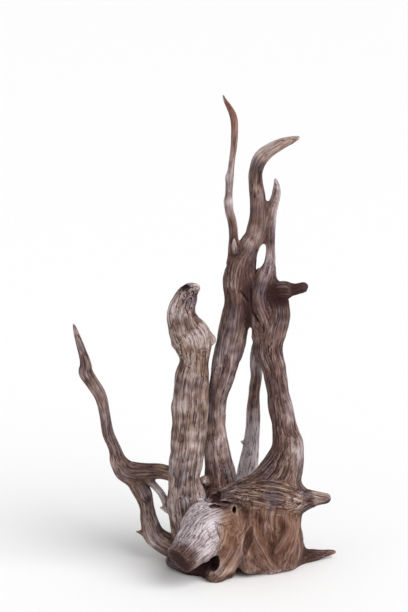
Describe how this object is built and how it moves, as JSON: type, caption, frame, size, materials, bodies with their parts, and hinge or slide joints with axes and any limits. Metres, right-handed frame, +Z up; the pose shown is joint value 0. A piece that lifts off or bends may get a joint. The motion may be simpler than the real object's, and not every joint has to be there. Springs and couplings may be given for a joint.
{
  "type": "piece of driftwood",
  "caption": "Weathered stump of driftwood standing on its sawn base, with upright stems, tapering spurs and a thin side root tied back to the stump.",
  "frame": {"origin": "middle of the bounding box at the floor, under the sawn base", "axes": "+Z up along the stems, -Y towards the front, +X towards the pointed spurs"},
  "size_m": [0.404, 0.2822, 0.7174],
  "materials": {
    "weathered_wood": "bare, matt, sea-worn wood with furrowed grain"
  },
  "bodies": {
    "root": {"driftwood": "weathered_wood"}
  },
  "joints": []
}
